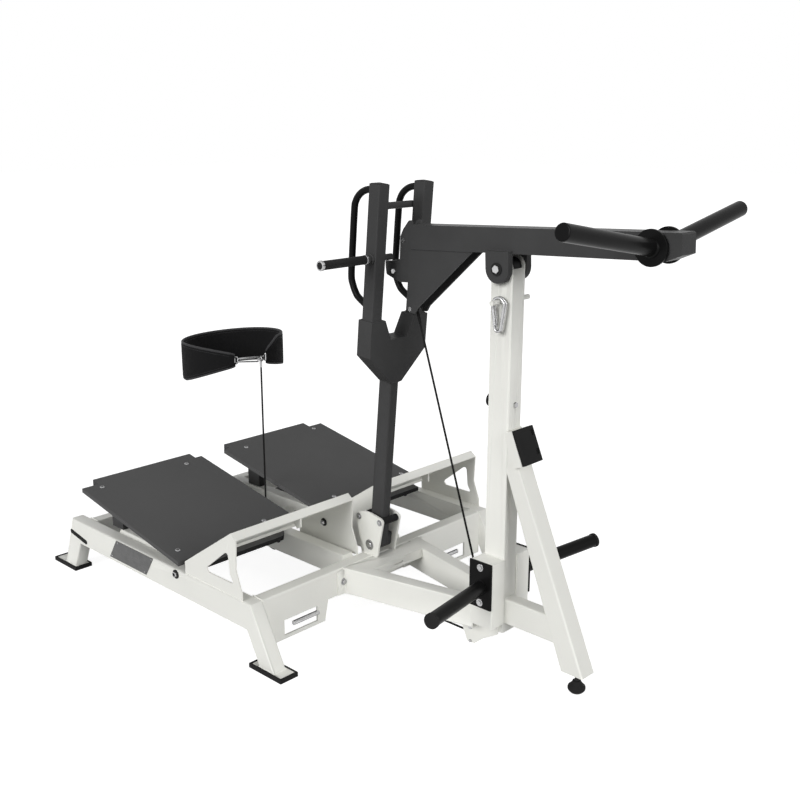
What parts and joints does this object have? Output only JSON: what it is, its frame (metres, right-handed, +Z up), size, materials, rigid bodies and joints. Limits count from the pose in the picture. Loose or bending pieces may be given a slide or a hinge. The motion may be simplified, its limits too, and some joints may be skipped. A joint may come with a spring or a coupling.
{
  "type": "belt squat machine",
  "caption": "Plate-loaded belt squat machine: white tube frame, black foot boards and toe plates, pivoting weight lever with cable, rack fork with handles and a hip belt.",
  "frame": {"origin": "on the floor at the middle of the machine, in the plane between its two sides", "axes": "+Z up, +X towards the weight horns, +Y towards the far side frame"},
  "size_m": [2.4702, 1.267, 1.5867],
  "materials": {
    "white_paint": "satin powder coat",
    "black_paint": "satin powder coat",
    "rubber": "matt",
    "board_skin": "fine textured",
    "steel": "zinc plated",
    "bare_plate": "brushed",
    "webbing": "woven",
    "cable_jacket": "smooth"
  },
  "bodies": {
    "frame": {"board_axle_far": "steel", "board_axle_near": "steel", "board_far": "board_skin", "board_near": "board_skin", "brace": "white_paint", "fork_base_far": "white_paint", "fork_base_near": "white_paint", "fork_pin": "steel", "front_cross_beam": "white_paint", "horn_box_far": "white_paint", "horn_box_near": "white_paint", "inner_beam_far": "white_paint", "inner_beam_near": "white_paint", "levelling_foot": "rubber", "mast": "white_paint", "mast_bumper": "rubber", "name_plate": "bare_plate", "pivot_pin": "steel", "pulley_bracket": "white_paint", "pulley_hanger": "white_paint", "rear_cross_beam": "white_paint", "riser_cable": "cable_jacket", "rubber_foot_front_far": "rubber", "rubber_foot_front_near": "rubber", "rubber_foot_rear_far": "rubber", "rubber_foot_rear_near": "rubber", "side_frame_far": "white_paint", "side_frame_near": "white_paint", "stop_pad": "rubber", "stop_roller_front": "rubber", "stop_roller_rear": "rubber", "storage_horn_far": "black_paint", "storage_horn_near": "black_paint", "tail_tube": "white_paint", "toe_plate_far": "white_paint", "toe_plate_near": "white_paint", "under_cable": "cable_jacket", "v_frame": "white_paint"},
    "lever": {"lever_beam": "black_paint", "hook_cheek_near": "black_paint", "hook_cheek_far": "black_paint", "lever_horn_near": "black_paint", "lever_horn_far": "black_paint"},
    "fork": {"fork_stem": "black_paint", "fork_yoke": "black_paint", "fork_upright_near": "black_paint", "fork_upright_far": "black_paint", "grip_near": "rubber", "grip_far": "rubber", "fork_rung": "black_paint"},
    "belt": {"hip_belt": "webbing", "belt_hook_near": "steel", "belt_hook_far": "steel"},
    "mast_pulley": {"mast_pulley": "black_paint"},
    "centre_pulley": {"centre_pulley": "black_paint"},
    "cable_lower": {"lever_cable_lower": "cable_jacket"},
    "cable_upper": {"lever_cable_upper": "cable_jacket"},
    "snap_hooks": {"snap_hook_1": "steel", "snap_hook_2": "steel"}
  },
  "joints": [
    {"name": "lever_pivot", "type": "hinge", "parent": "frame", "child": "lever", "pos_m": [0.62287, 0, 1.343], "axis": [0, 1, 0], "range_deg": [0, 55]},
    {"name": "fork_swing", "type": "hinge", "parent": "frame", "child": "fork", "pos_m": [0.04787, 0, 0.264], "axis": [0, 1, 0], "range_deg": [-12.5, 0]},
    {"name": "belt_lift", "type": "slide", "parent": "frame", "child": "belt", "axis": [0, 0, 1], "range_m": [-0.3725, 0], "deforming": ["riser_cable"]},
    {"name": "mast_pulley_spin", "type": "hinge", "parent": "frame", "child": "mast_pulley", "pos_m": [0.53187, 0, 0.1], "axis": [0, 1, 0], "range_deg": [-469, 0]},
    {"name": "centre_pulley_spin", "type": "hinge", "parent": "frame", "child": "centre_pulley", "pos_m": [-0.56813, 0, 0.1], "axis": [0, 1, 0], "range_deg": [-469, 0]},
    {"name": "cable_lower_swing", "type": "hinge", "parent": "frame", "child": "cable_lower", "pos_m": [0.53187, 0, 0.1], "axis": [0, 1, 0], "range_deg": [0, 5.5]},
    {"name": "cable_upper_swing", "type": "hinge", "parent": "lever", "child": "cable_upper", "pos_m": [0.23587, 0, 1.168], "axis": [0, 1, 0], "range_deg": [-49.6, 0]},
    {"name": "snap_hooks_swing", "type": "hinge", "parent": "frame", "child": "snap_hooks", "pos_m": [0.63287, 0, 1.242], "axis": [0, 1, 0], "range_deg": [-20, 20]}
  ],
  "couplings": [
    {"joint": "belt_lift", "follows": "lever_pivot", "m_per_rad": -0.3875},
    {"joint": "mast_pulley_spin", "follows": "lever_pivot", "ratio": -8.52},
    {"joint": "centre_pulley_spin", "follows": "lever_pivot", "ratio": -8.52},
    {"joint": "cable_lower_swing", "follows": "lever_pivot", "ratio": 0.0991},
    {"joint": "cable_upper_swing", "follows": "lever_pivot", "ratio": -0.9009}
  ]
}
